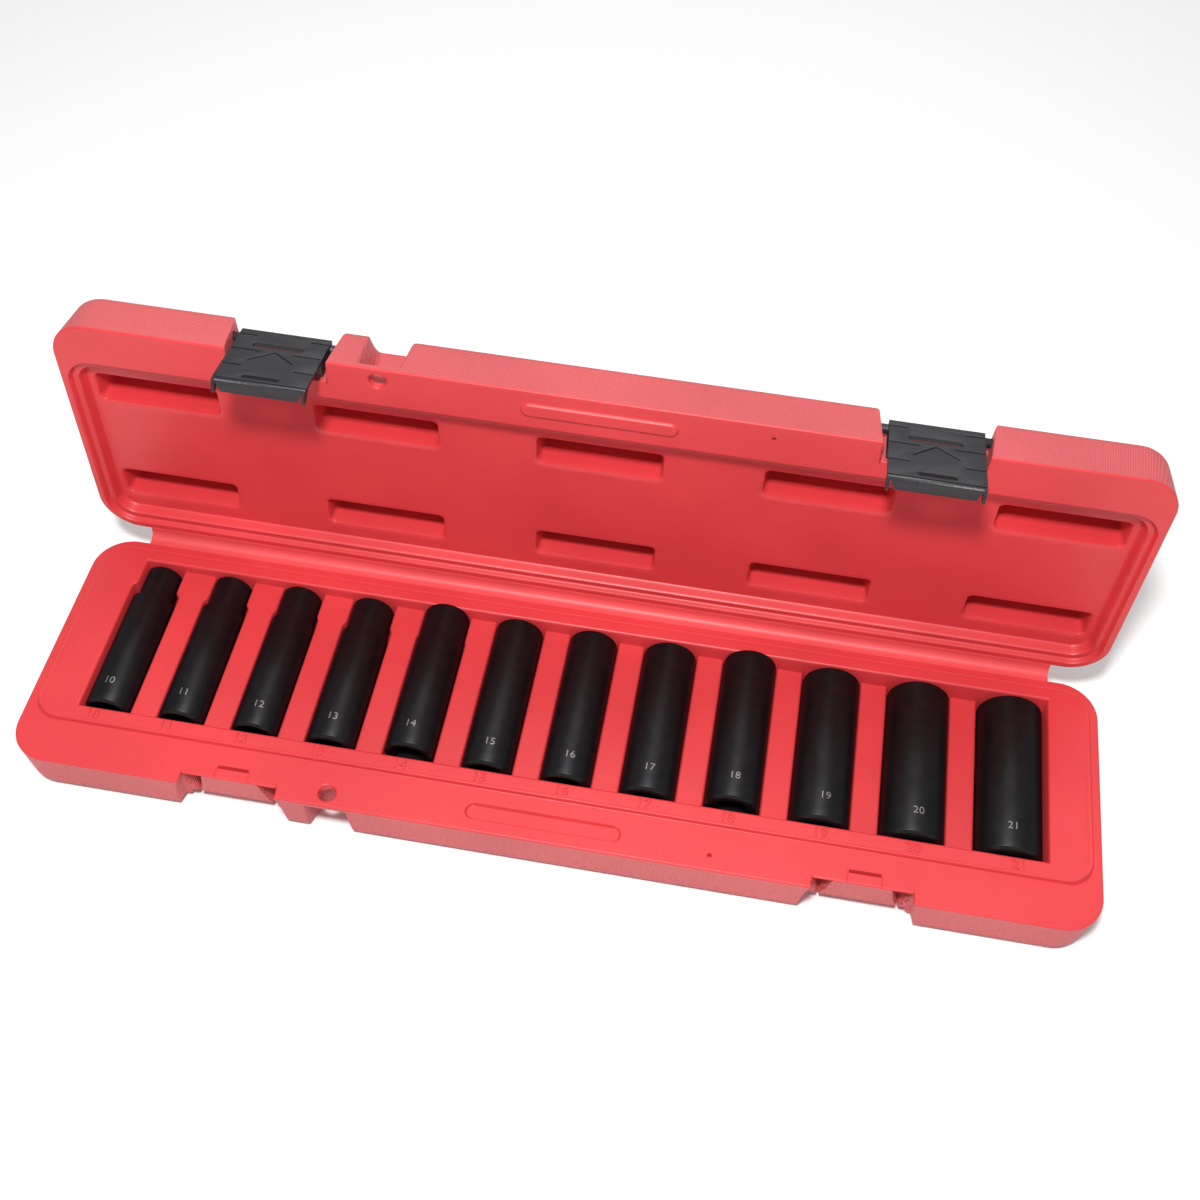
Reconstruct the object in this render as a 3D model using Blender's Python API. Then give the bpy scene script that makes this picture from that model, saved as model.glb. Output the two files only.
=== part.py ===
"""Deep socket set in a folding blow-moulded case: two hollow case halves joined by a web
hinge, two over-centre latches on the lid, and twelve deep sockets lying in U-shaped pockets.

World frame: X along the case, Y towards the hinge, Z up, origin at the middle of the base's
underside. Each half is described in its own flat frame, where z = 0 is the parting plane."""

import math

import bmesh
import bpy

MM = 0.001

# Case halves
CASE_LENGTH = 472.0 * MM
CASE_DEPTH = 123.6 * MM
BASE_HEIGHT = 26.0 * MM
LID_HEIGHT = 25.6 * MM
PARTING_GAP = 0.3 * MM
CORNER_RADIUS = 17.5 * MM
OUTER_FILLET = 5.5 * MM
DRAFT = math.radians(6.0)
SKIN = 2.0 * MM

# Web hinge along the rear edge
HINGE_OFFSET = 4.7 * MM
HINGE_LENGTH = 427.0 * MM
HINGE_THICKNESS = 1.4 * MM
HINGE_END_RADIUS = 4.0 * MM
CLEARANCE = 0.3 * MM
LID_ANGLE = math.radians(87.56)

# Plateau and socket tray of the base
PLATEAU_HEIGHT = 2.0 * MM
PLATEAU_MARGIN = 4.3 * MM
PLATEAU_FRONT = 21.0 * MM
PLATEAU_RADIUS = 12.0 * MM
PLATEAU_FIT = 0.7 * MM
TRAY_FRONT = 29.1 * MM
TRAY_REAR = 111.7 * MM
RIB_WIDTH = 12.25 * MM
RIB_TOP = -5.3 * MM
RIB_SLOPE = -0.0155
FIRST_WALL = -211.9 * MM
NOSE_SHOULDER = 96.0 * MM
SHOULDER_RUN = 3.0 * MM

# Sockets: half-inch square drive at the front end, hexagon at the rear end
SOCKET_LENGTH = 78.0 * MM
SOCKET_PROUD = 5.5 * MM
SOCKET_FRONT = 30.7 * MM
SET_BACK = 2.7 * MM
SOCKET_CHAMFER = 1.2 * MM
NOSE_LENGTH = 16.5 * MM
NOSE_CONE = 1.5 * MM
POCKET_FIT = 0.4 * MM
DRIVE_SQUARE = 12.8 * MM
DRIVE_DEPTH = 16.0 * MM
HEX_DEPTH = 18.0 * MM
WIDEST_BORE = 12.0 * MM
BORE_PER_HEX = 0.85
# across flats: (drive end diameter, nose diameter), in millimetres
SOCKETS = {
    10: (20.5, 16.5),
    11: (20.5, 17.5),
    12: (20.5, 18.5),
    13: (22.0, 19.5),
    14: (22.0, 21.0),
    15: (22.0, 22.0),
    16: (22.0, 22.0),
    17: (24.0, 24.0),
    18: (24.0, 24.0),
    19: (26.0, 26.0),
    20: (28.0, 28.0),
    21: (29.0, 29.0),
}
SET_BACK_SIZES = (14, 18)

# Front edge features shared by both halves
STADIUM_Y = 9.8 * MM
STADIUM_LENGTH = 66.6 * MM
STADIUM_WIDTH = 7.0 * MM
STADIUM_DEPTH = 1.6 * MM
STADIUM_FIT = 0.5 * MM
PADLOCK_X = -93.3 * MM
PADLOCK_Y = 6.7 * MM
PADLOCK_RADIUS = 3.8 * MM
FLANGE = 3.0 * MM
VALLEY_DEPTH = 13.6 * MM
VALLEY_FRONT_HALF = 9.0 * MM
VALLEY_REAR_HALF = 4.5 * MM
NEEDLE_X = 71.8 * MM
NEEDLE_Y = 7.1 * MM
NEEDLE_RADIUS = 0.9 * MM
NEEDLE_DEPTH = 8.0 * MM

# Inside of the lid
LID_BAND = PLATEAU_MARGIN - PLATEAU_FIT
LID_FRONT_BAND = PLATEAU_FRONT - PLATEAU_FIT
STEP_DEPTH = 2.6 * MM
LEDGE = 2.8 * MM
PANEL_DEPTH = 6.75 * MM
PANEL_DRAFT = 0.8 * MM
LID_INNER_RADIUS = PLATEAU_RADIUS + PLATEAU_FIT
BAR_LENGTH = 54.5 * MM
BAR_WIDTH = 14.8 * MM
BAR_DEPTH = 22.0 * MM
BAR_DRAFT = 1.4 * MM
BAR_RADIUS = 2.5 * MM
BAR_PITCH = 98.3 * MM
BAR_ROWS = (28.7 * MM, 88.3 * MM)

# Latches and the recesses they close over
LATCH_X = 136.5 * MM
RECESS_WIDTH = 42.5 * MM
RECESS_DEPTH = 10.7 * MM
NOTCH_DEPTH = 5.0 * MM
CATCH_WIDTH = 25.2 * MM
CATCH_HEIGHT = 18.5 * MM
CATCH_SLOPE = 2.5 * MM
CATCH_BACK = 12.0 * MM
LATCH_WIDTH = 39.0 * MM
LATCH_PLATE = 1.8 * MM
LATCH_SET_IN = 2.9 * MM
LATCH_TOP = 17.0 * MM
LATCH_BEND = 21.7 * MM
LATCH_LIP = 6.0 * MM
SKIRT_THICKNESS = 2.2 * MM
SKIRT_DEPTH = 7.0 * MM
SKIRT_END = 0.8 * MM
PIN_DROP = 14.8 * MM
PIN_SET_IN = 6.1 * MM
PIN_RADIUS = 2.0 * MM
PIN_FIT = 0.2 * MM
PIN_REACH = 2.4 * MM
PIN_HOLE_DEPTH = 3.0 * MM
LATCH_REST = math.radians(9.0)
SLOT_WIDTH = 1.8 * MM
# (middle across, distance below the top edge, length), in millimetres
LATCH_SLOTS = ((-0.5, 10.8, 21.9), (-0.2, 34.8, 15.9))

OVERSHOOT = 1.0 * MM
HINGE_AXIS = CASE_DEPTH + HINGE_OFFSET
RIM_Z = BASE_HEIGHT
Y_SHIFT = -CASE_DEPTH / 2


def clear_scene():
    for obj in list(bpy.data.objects):
        bpy.data.objects.remove(obj, do_unlink=True)


def new_collection(name, hidden=False):
    collection = bpy.data.collections.new(name)
    bpy.context.scene.collection.children.link(collection)
    collection.hide_render = hidden
    return collection


def new_material(name, colour, roughness, metallic=0.0):
    material = bpy.data.materials.new(name)
    material.use_nodes = True
    shader = material.node_tree.nodes["Principled BSDF"]
    shader.inputs["Base Color"].default_value = (*colour, 1.0)
    shader.inputs["Roughness"].default_value = roughness
    shader.inputs["Metallic"].default_value = metallic
    return material


def rounded_rectangle(x_half, y_half, radius, steps=4):
    """Corner-rounded rectangle about the origin, anticlockwise, steps + 1 points a corner."""
    points = []
    for turn, (sx, sy) in enumerate(((1, 1), (-1, 1), (-1, -1), (1, -1))):
        for step in range(steps + 1):
            angle = math.pi / 2 * (turn + step / steps)
            x = sx * (x_half - radius) + radius * math.cos(angle)
            y = sy * (y_half - radius) + radius * math.sin(angle)
            points.append((x, y))
    return points


def loft(name, rings, collection):
    """Closed solid through rings of equal point counts, listed from its low end to its high end."""
    bm = bmesh.new()
    loops = [[bm.verts.new(point) for point in ring] for ring in rings]
    count = len(rings[0])
    for low, high in zip(loops, loops[1:]):
        for i in range(count):
            j = (i + 1) % count
            bm.faces.new((low[i], low[j], high[j], high[i]))
    bm.faces.new(tuple(reversed(loops[0])))
    bm.faces.new(tuple(loops[-1]))
    bmesh.ops.recalc_face_normals(bm, faces=bm.faces)
    mesh = bpy.data.meshes.new(name)
    bm.to_mesh(mesh)
    bm.free()
    obj = bpy.data.objects.new(name, mesh)
    collection.objects.link(obj)
    return obj


def tapered(name, levels, centre, collection, steps=4):
    """Stack of rounded rectangles: each level is (z, x_half, y_half, radius), lowest first."""
    rings = []
    for z, x_half, y_half, radius in levels:
        outline = rounded_rectangle(x_half, y_half, radius, steps)
        rings.append([(centre[0] + x, centre[1] + y, z) for x, y in outline])
    return loft(name, rings, collection)


def prism(name, outline, axis, low, high, collection):
    """Outline pulled along an axis. It is given in the other two axes, in X, Y, Z order."""
    def place(point, along):
        pair = list(point)
        pair.insert("XYZ".index(axis), along)
        return tuple(pair)
    rings = [[place(point, along) for point in outline] for along in (low, high)]
    return loft(name, rings, collection)


def circle(radius, centre=(0.0, 0.0), steps=16, start=0.0):
    points = []
    for step in range(steps):
        angle = start + 2 * math.pi * step / steps
        points.append((centre[0] + radius * math.cos(angle), centre[1] + radius * math.sin(angle)))
    return points


def stadium(length, width, centre, steps=8):
    points = []
    for end in (1, -1):
        for step in range(steps + 1):
            angle = math.pi * (step / steps - 0.5) + (0 if end > 0 else math.pi)
            x = end * (length - width) / 2 + width / 2 * math.cos(angle)
            points.append((centre[0] + x, centre[1] + width / 2 * math.sin(angle)))
    return points


def combine(target, cutter, operation="DIFFERENCE"):
    modifier = target.modifiers.new(cutter.name, "BOOLEAN")
    modifier.operation = operation
    modifier.solver = "EXACT"
    modifier.object = cutter
    cutter.display_type = "WIRE"
    cutter.hide_render = True


def finish(obj, material, angle=35.0):
    obj.data.materials.append(material)
    obj.data.shade_smooth()
    obj.data.set_sharp_from_angle(angle=math.radians(angle))


def half_body(name, height, top, centre_y, collection, inset=0.0):
    """Outer block of one case half, or its cavity when inset by the skin."""
    floor = -height + inset
    fillet = OUTER_FILLET - inset
    levels = []
    for step in range(4):
        angle = math.pi / 2 * (1 - step / 3)
        z = floor + fillet * (1 - math.sin(angle))
        side = fillet * (1 - math.cos(angle))
        levels.append((z, side))
    levels.append((top - inset, 0.0))
    levels.reverse()
    levels.sort()
    rings = []
    for z, side in levels:
        grown = inset + side + math.tan(DRAFT) * max(0.0, -z)
        x_half = CASE_LENGTH / 2 - grown
        y_half = CASE_DEPTH / 2 - grown
        rings.append((z, x_half, y_half, max(CORNER_RADIUS - grown, 2 * MM)))
    return tapered(name, rings, (0.0, centre_y), collection)


def front(distance, lid):
    """Y in a half's own frame of a point this far behind its front edge."""
    return HINGE_AXIS - distance if lid else distance


def front_outline(points, lid):
    return [(x, front(y, lid)) for x, y in points]


def pocket_walls():
    """Left wall, right wall and axis of each pocket, from the smallest socket to the largest."""
    walls = {}
    left = FIRST_WALL
    for size, (drive, _) in SOCKETS.items():
        width = drive * MM + 2 * POCKET_FIT
        walls[size] = (left, left + width, left + width / 2)
        left += width + RIB_WIDTH
    return walls


POCKETS = pocket_walls()


def socket_axis_z(size):
    return SOCKET_PROUD - SOCKETS[size][0] * MM / 2


def u_section(x, y, half, axis_z, top, steps=10):
    points = [(x + half, y, top), (x - half, y, top)]
    for step in range(steps + 1):
        angle = math.pi * (1 + step / steps)
        points.append((x + half * math.cos(angle), y, axis_z + half * math.sin(angle)))
    return points


def pocket_cutter(size, collection, grow=0.0):
    x = POCKETS[size][2]
    drive, nose = (value * MM / 2 + POCKET_FIT + grow for value in SOCKETS[size])
    axis_z = socket_axis_z(size)
    top = PLATEAU_HEIGHT + OVERSHOOT
    sections = [(TRAY_FRONT - grow, drive)]
    if nose < drive:
        sections += [(NOSE_SHOULDER, drive), (NOSE_SHOULDER + SHOULDER_RUN, nose)]
    sections.append((TRAY_REAR + grow, nose))
    rings = [u_section(x, y, half, axis_z, top) for y, half in sections]
    return loft(f"pocket_{size}_{'cavity' if grow else 'cut'}", rings, collection)


def tray_cutter(collection, grow=0.0):
    """Space above the ribs, from the first pocket's middle to the last pocket's far wall."""
    left = POCKETS[min(SOCKETS)][2] - grow
    right = POCKETS[max(SOCKETS)][1] + grow
    top = PLATEAU_HEIGHT + OVERSHOOT
    low = (RIB_TOP + RIB_SLOPE * left - grow, RIB_TOP + RIB_SLOPE * right - grow)
    outline = [(left, low[0]), (right, low[1]), (right, top), (left, top)]
    name = f"tray_{'cavity' if grow else 'cut'}"
    return prism(name, outline, "Y", TRAY_FRONT - grow, TRAY_REAR + grow, collection)


def valley_cutter(lid, top, height, collection, grow=0.0):
    rear = VALLEY_REAR_HALF + grow
    outer = VALLEY_FRONT_HALF + grow
    outline = [
        (PADLOCK_X - outer, -OVERSHOOT),
        (PADLOCK_X + outer, -OVERSHOOT),
        (PADLOCK_X + rear, VALLEY_DEPTH + grow),
        (PADLOCK_X - rear, VALLEY_DEPTH + grow),
    ]
    name = f"{'lid' if lid else 'base'}_valley_{'cavity' if grow else 'cut'}"
    high = top - FLANGE + (OVERSHOOT + FLANGE if grow else 0.0)
    return prism(name, front_outline(outline, lid), "Z", -height - OVERSHOOT, high, collection)


def hole_cutter(name, x, distance, radius, lid, low, high, collection):
    outline = circle(radius, (x, front(distance, lid)))
    return prism(name, outline, "Z", low, high, collection)


def box_outline(x_low, x_high, y_low, y_high):
    return [(x_low, y_low), (x_high, y_low), (x_high, y_high), (x_low, y_high)]


def base_latch_cutters(side, collection, grow=0.0):
    """Notch the latch plate drops into, and the deeper space beside and under the catch."""
    x = side * LATCH_X
    half = RECESS_WIDTH / 2 + grow
    catch = CATCH_WIDTH / 2 - grow
    floor = -BASE_HEIGHT - OVERSHOOT
    tag = f"{'left' if side < 0 else 'right'}_{'cavity' if grow else 'cut'}"
    profile = [
        (-OVERSHOOT, floor),
        (NOTCH_DEPTH + CATCH_SLOPE + grow, floor),
        (NOTCH_DEPTH + CATCH_SLOPE + grow, -CATCH_HEIGHT),
        (NOTCH_DEPTH + grow, 0.0),
        (NOTCH_DEPTH + grow, OVERSHOOT),
        (-OVERSHOOT, OVERSHOOT),
    ]
    notch = prism(f"base_notch_{tag}", profile, "X", x - half, x + half, collection)
    top = -SKIN + grow
    arch = [
        (x - half, floor),
        (x + half, floor),
        (x + half, top),
        (x + catch, top),
        (x + catch, -CATCH_HEIGHT + grow),
        (x - catch, -CATCH_HEIGHT + grow),
        (x - catch, top),
        (x - half, top),
    ]
    back = CATCH_BACK + grow
    under = prism(f"base_catch_{tag}", arch, "Y", -OVERSHOOT, back, collection)
    return notch, under


def build_base(parts, helpers, material):
    height, centre_y = BASE_HEIGHT, CASE_DEPTH / 2
    base = half_body("case_base", height, 0.0, centre_y, parts)
    plateau_y = (PLATEAU_FRONT + CASE_DEPTH - PLATEAU_MARGIN) / 2
    plateau_half = (CASE_DEPTH - PLATEAU_MARGIN - PLATEAU_FRONT) / 2
    x_half = CASE_LENGTH / 2 - PLATEAU_MARGIN
    slope = 0.3 * MM
    levels = (
        (-OVERSHOOT, x_half, plateau_half, PLATEAU_RADIUS),
        (0.0, x_half, plateau_half, PLATEAU_RADIUS),
        (PLATEAU_HEIGHT, x_half - slope, plateau_half - slope, PLATEAU_RADIUS - slope),
    )
    plateau = tapered("plateau", levels, (0.0, plateau_y), helpers)
    combine(base, plateau, "UNION")
    cavity = half_body("base_cavity", height, 0.0, centre_y, helpers, SKIN)
    for grow, target in ((0.0, base), (SKIN, cavity)):
        combine(target, tray_cutter(helpers, grow))
        for size in SOCKETS:
            combine(target, pocket_cutter(size, helpers, grow))
        for side in (-1, 1):
            for cutter in base_latch_cutters(side, helpers, grow):
                combine(target, cutter)
        combine(target, valley_cutter(False, 0.0, height, helpers, grow))
        tag = "cavity" if grow else "cut"
        outline = stadium(STADIUM_LENGTH + 2 * grow, STADIUM_WIDTH + 2 * grow, (0.0, STADIUM_Y))
        low = -STADIUM_DEPTH - grow
        combine(target, prism(f"stadium_{tag}", outline, "Z", low, OVERSHOOT, helpers))
    combine(base, hole_cutter("base_padlock_hole", PADLOCK_X, PADLOCK_Y, PADLOCK_RADIUS, False,
                              -FLANGE - OVERSHOOT, OVERSHOOT, helpers))
    combine(base, cavity)
    combine(base, hole_cutter("base_needle_hole", NEEDLE_X, NEEDLE_Y, NEEDLE_RADIUS, False,
                              -NEEDLE_DEPTH, OVERSHOOT, helpers))
    finish(base, material)
    base.location = (0.0, Y_SHIFT, RIM_Z)
    return base


def lid_panel_cutter(collection, grow=0.0):
    """Stepped recess of the lid: a shallow step, a ledge, then the panel."""
    top = -PARTING_GAP
    rear, forward = HINGE_OFFSET + LID_BAND, HINGE_AXIS - LID_FRONT_BAND
    centre = (0.0, (rear + forward) / 2)
    x_half = CASE_LENGTH / 2 - LID_BAND + grow
    y_half = (forward - rear) / 2 + grow
    radius = LID_INNER_RADIUS + grow
    levels = []
    for z, side in (
        (top - PANEL_DEPTH - grow, LEDGE + 2 * PANEL_DRAFT),
        (top - STEP_DEPTH - grow, LEDGE + PANEL_DRAFT),
        (top - STEP_DEPTH - grow, PANEL_DRAFT),
        (top, 0.0),
        (OVERSHOOT, 0.0),
    ):
        levels.append((z, x_half - side, y_half - side, radius - side))
    return tapered(f"lid_panel_{'cavity' if grow else 'cut'}", levels, centre, collection)


def lid_bar_cutters(collection, grow=0.0):
    for row, y in enumerate(BAR_ROWS):
        for column in range(5):
            x = (column - 2) * BAR_PITCH
            x_half, y_half = BAR_LENGTH / 2 + grow, BAR_WIDTH / 2 + grow
            radius = BAR_RADIUS + grow
            levels = (
                (-BAR_DEPTH - grow, x_half - BAR_DRAFT, y_half - BAR_DRAFT, radius - BAR_DRAFT),
                (-PANEL_DEPTH + OVERSHOOT, x_half, y_half, radius),
            )
            tag = "cavity" if grow else "cut"
            yield tapered(f"bar_{row}_{column}_{tag}", levels, (x, y), collection, 2)


def lid_latch_cutters(side, collection, grow=0.0):
    """Recess the latch folds into, and the two blind holes its pins turn in."""
    x = side * LATCH_X
    half = RECESS_WIDTH / 2 + grow
    tag = f"{'left' if side < 0 else 'right'}_{'cavity' if grow else 'cut'}"
    floor = HINGE_AXIS - RECESS_DEPTH - grow
    outline = box_outline(x - half, x + half, floor, HINGE_AXIS + OVERSHOOT)
    low, high = -LID_HEIGHT - OVERSHOOT, OVERSHOOT
    yield prism(f"lid_recess_{tag}", outline, "Z", low, high, collection)
    reach = RECESS_WIDTH / 2 + PIN_HOLE_DEPTH + grow
    hole = circle(PIN_RADIUS + PIN_FIT + grow, (HINGE_AXIS - PIN_SET_IN, -PIN_DROP), 12)
    yield prism(f"lid_pin_holes_{tag}", hole, "X", x - reach, x + reach, collection)


def build_lid(parts, helpers, material):
    height, top = LID_HEIGHT, -PARTING_GAP
    centre_y = HINGE_OFFSET + CASE_DEPTH / 2
    lid = half_body("case_lid", height, top, centre_y, parts)
    cavity = half_body("lid_cavity", height, top, centre_y, helpers, SKIN)
    outline = stadium(STADIUM_LENGTH - 2 * STADIUM_FIT, STADIUM_WIDTH - 2 * STADIUM_FIT,
                      (0.0, front(STADIUM_Y, True)))
    raised = STADIUM_DEPTH - STADIUM_FIT - PARTING_GAP
    combine(lid, prism("raised_bar", outline, "Z", -OVERSHOOT, raised, helpers), "UNION")
    for grow, target in ((0.0, lid), (SKIN, cavity)):
        combine(target, lid_panel_cutter(helpers, grow))
        for cutter in lid_bar_cutters(helpers, grow):
            combine(target, cutter)
        for side in (-1, 1):
            for cutter in lid_latch_cutters(side, helpers, grow):
                combine(target, cutter)
        combine(target, valley_cutter(True, top, height, helpers, grow))
    combine(lid, hole_cutter("lid_padlock_hole", PADLOCK_X, PADLOCK_Y, PADLOCK_RADIUS, True,
                             -FLANGE - OVERSHOOT, OVERSHOOT, helpers))
    combine(lid, cavity)
    combine(lid, hole_cutter("lid_needle_hole", NEEDLE_X, NEEDLE_Y, NEEDLE_RADIUS, True,
                             -NEEDLE_DEPTH, OVERSHOOT, helpers))
    finish(lid, material)
    lid.location = (0.0, Y_SHIFT + HINGE_AXIS, RIM_Z)
    lid.rotation_euler.x = LID_ANGLE
    return lid


def build_hinge(parts, lid, material):
    """The web's two leaves, which meet at the crease on the hinge axis."""
    near, far = CLEARANCE / 2, HINGE_OFFSET - CLEARANCE
    leaf = (far - near) / 2
    radius = min(HINGE_END_RADIUS, leaf - 0.2 * MM)
    for name, top in (("hinge_leaf_base", 0.0), ("hinge_leaf_lid", -PARTING_GAP)):
        levels = [(z, HINGE_LENGTH / 2, leaf, radius) for z in (top - HINGE_THICKNESS, top)]
        sign = 1 if name.endswith("lid") else -1
        web = tapered(name, levels, (0.0, sign * (near + far) / 2), parts)
        finish(web, material)
        web.location = (0.0, Y_SHIFT + HINGE_AXIS, RIM_Z)
        if sign > 0:
            web.rotation_euler.x = lid.rotation_euler.x


def build_latch(name, side, parts, helpers, lid, material):
    """Latch in its pin's frame: Y out of the lid's front, Z from the lid's top to the base."""
    face = PIN_SET_IN - LATCH_SET_IN
    top, bend = PIN_DROP - LATCH_TOP, PIN_DROP + LATCH_BEND
    half = LATCH_WIDTH / 2
    hook = [
        (face, top),
        (face, bend),
        (face - LATCH_LIP, bend),
        (face - LATCH_LIP, bend - LATCH_PLATE),
        (face - LATCH_PLATE, bend - LATCH_PLATE),
        (face - LATCH_PLATE, top),
    ]
    latch = prism(name, hook, "X", -half, half, parts)
    skirt = [
        (face - LATCH_PLATE / 2, top),
        (-PIN_RADIUS - PIN_FIT, top + 0.4 * MM),
        (-PIN_RADIUS - PIN_FIT, PIN_RADIUS),
        (face - SKIRT_DEPTH, PIN_DROP - SKIRT_END),
        (face - LATCH_PLATE / 2, PIN_DROP - SKIRT_END),
    ]
    for end in (-1, 1):
        low, high = sorted((end * half, end * (half - SKIRT_THICKNESS)))
        cheek = prism(f"{name}_skirt_{'a' if end < 0 else 'b'}", skirt, "X", low, high, helpers)
        reach = sorted((end * (half - SKIRT_THICKNESS / 2), end * (RECESS_WIDTH / 2 + PIN_REACH)))
        pin = prism(f"{name}_pin_{'a' if end < 0 else 'b'}", circle(PIN_RADIUS, steps=12), "X",
                    *reach, helpers)
        combine(latch, cheek, "UNION")
        combine(latch, pin, "UNION")
        cheek.parent = pin.parent = latch
    for number, (x, down, length) in enumerate(LATCH_SLOTS):
        outline = stadium(length * MM, SLOT_WIDTH, (x * MM, top + down * MM), 4)
        slot = prism(f"{name}_slot_{number}", outline, "Y", 0.0, face + OVERSHOOT, helpers)
        combine(latch, slot)
        slot.parent = latch
    finish(latch, material)
    latch.parent = lid
    latch.location = (side * LATCH_X, HINGE_AXIS - PIN_SET_IN, -PIN_DROP)
    latch.rotation_euler.x = -LATCH_REST


def build_socket(size, parts, helpers, material):
    """Socket about its own axis: drive end towards -Y, hexagon towards +Y."""
    drive, nose = (value * MM / 2 for value in SOCKETS[size])
    end = SOCKET_LENGTH / 2
    shape = [(-end, drive - SOCKET_CHAMFER), (-end + SOCKET_CHAMFER, drive)]
    if nose < drive:
        shape += [(end - NOSE_LENGTH - NOSE_CONE, drive), (end - NOSE_LENGTH, nose)]
    shape += [(end - SOCKET_CHAMFER / 2, nose), (end, nose - SOCKET_CHAMFER / 2)]
    rings = [[(x, y, z) for x, z in circle(radius, steps=28)] for y, radius in shape]
    name = f"socket_{size}mm"
    socket = loft(name, rings, parts)
    square = circle(DRIVE_SQUARE / math.sqrt(2), steps=4, start=math.pi / 4)
    hexagon = circle(size * MM / math.sqrt(3), steps=6)
    bore = circle(min(BORE_PER_HEX * size * MM, WIDEST_BORE) / 2, steps=16)
    for tag, outline, low, high in (
        ("square", square, -end - OVERSHOOT, -end + DRIVE_DEPTH),
        ("hexagon", hexagon, end - HEX_DEPTH, end + OVERSHOOT),
        ("bore", bore, -end + DRIVE_DEPTH - OVERSHOOT, end - HEX_DEPTH + OVERSHOOT),
    ):
        cutter = prism(f"{name}_{tag}", outline, "Y", low, high, helpers)
        combine(socket, cutter)
        cutter.parent = socket
    finish(socket, material)
    front_y = SOCKET_FRONT + (SET_BACK if size in SET_BACK_SIZES else 0.0)
    socket.location = (POCKETS[size][2], Y_SHIFT + front_y + end, RIM_Z + socket_axis_z(size))


def main():
    clear_scene()
    parts = new_collection("socket_set_in_case")
    helpers = new_collection("cutters", hidden=True)
    base_red = new_material("case_base_plastic", (0.78, 0.07, 0.085), 0.45)
    lid_red = new_material("case_lid_plastic", (0.78, 0.07, 0.085), 0.45)
    web_red = new_material("hinge_web_plastic", (0.80, 0.10, 0.11), 0.45)
    black = new_material("latch_plastic", (0.025, 0.025, 0.028), 0.5)
    steel = new_material("socket_steel", (0.012, 0.012, 0.014), 0.35, 1.0)
    base = build_base(parts, helpers, base_red)
    lid = build_lid(parts, helpers, lid_red)
    for half, cavity in ((base, "base_cavity"), (lid, "lid_cavity")):
        for cutter in helpers.objects:
            used = (half.modifiers, bpy.data.objects[cavity].modifiers)
            if any(cutter.name in modifiers for modifiers in used):
                cutter.parent = half
    build_hinge(parts, lid, web_red)
    build_latch("latch_left", -1, parts, helpers, lid, black)
    build_latch("latch_right", 1, parts, helpers, lid, black)
    for size in SOCKETS:
        build_socket(size, parts, helpers, steel)


main()
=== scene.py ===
import math

import bmesh
import bpy
import numpy as np
from bpy.props import FloatProperty, FloatVectorProperty, IntProperty, PointerProperty
from mathutils import Matrix, Vector


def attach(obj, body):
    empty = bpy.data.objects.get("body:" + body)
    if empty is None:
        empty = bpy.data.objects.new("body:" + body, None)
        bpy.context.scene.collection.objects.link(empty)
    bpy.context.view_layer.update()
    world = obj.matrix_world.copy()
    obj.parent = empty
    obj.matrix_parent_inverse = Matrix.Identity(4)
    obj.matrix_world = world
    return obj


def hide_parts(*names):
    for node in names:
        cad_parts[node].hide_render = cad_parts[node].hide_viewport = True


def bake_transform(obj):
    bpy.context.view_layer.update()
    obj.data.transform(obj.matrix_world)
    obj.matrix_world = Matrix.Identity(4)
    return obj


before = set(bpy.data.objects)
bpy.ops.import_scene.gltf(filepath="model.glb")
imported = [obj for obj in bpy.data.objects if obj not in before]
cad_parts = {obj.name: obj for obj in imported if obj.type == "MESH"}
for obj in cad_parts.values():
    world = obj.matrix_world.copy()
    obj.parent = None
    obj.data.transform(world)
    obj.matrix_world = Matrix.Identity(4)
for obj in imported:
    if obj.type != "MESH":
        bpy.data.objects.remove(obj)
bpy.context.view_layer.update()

bl_info = {
    "name": "Deep socket set in a folding case",
    "version": (1, 0, 0),
    "blender": (4, 5, 0),
    "location": "View3D > Sidebar > Socket set",
    "description": "Moulded case halves, latches, web hinge and deep sockets round a fixed frame",
    "category": "Object",
}

MM = 0.001

# The case in its own flat frame, in millimetres: x along it, d back from the front edge,
# z up from the parting plane. The lid's frame is the same one, mirrored about the hinge axis.
LENGTH, DEPTH = 472.0, 123.6
BASE_HEIGHT, LID_HEIGHT = 26.0, 25.6
CORNER, FILLET = 17.5, 5.5
DRAFT = math.tan(math.radians(6.0))
HINGE_OFFSET = 4.7
HINGE_AXIS = DEPTH + HINGE_OFFSET
LID_ANGLE = math.radians(87.56)
PARTING_GAP = 0.3
HINGE_WORLD = Vector((0.0, HINGE_AXIS - DEPTH / 2, BASE_HEIGHT)) * MM

TRAY_FRONT, TRAY_REAR = 29.1, 111.7
RIB_WIDTH, RIB_TOP, RIB_SLOPE = 12.25, -5.3, -0.0155
FIRST_WALL, SHOULDER, SHOULDER_RUN = -211.9, 96.0, 3.0
SOCKET_PROUD, SOCKET_FRONT, SOCKET_LENGTH = 5.5, 30.7, 78.0
SOCKETS = {
    10: (20.5, 16.5), 11: (20.5, 17.5), 12: (20.5, 18.5), 13: (22.0, 19.5),
    14: (22.0, 21.0), 15: (22.0, 22.0), 16: (22.0, 22.0), 17: (24.0, 24.0),
    18: (24.0, 24.0), 19: (26.0, 26.0), 20: (28.0, 28.0), 21: (29.0, 29.0),
}
SET_BACK = {14: 2.7, 18: 2.7}
POCKET_GAP = 0.4
DRIVE_HALF, DRIVE_DEPTH, HEXAGON_DEPTH = 6.4, 16.0, 18.0
MARK_SIZE, MARK_SET_BACK = 4.9, 28.0

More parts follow.
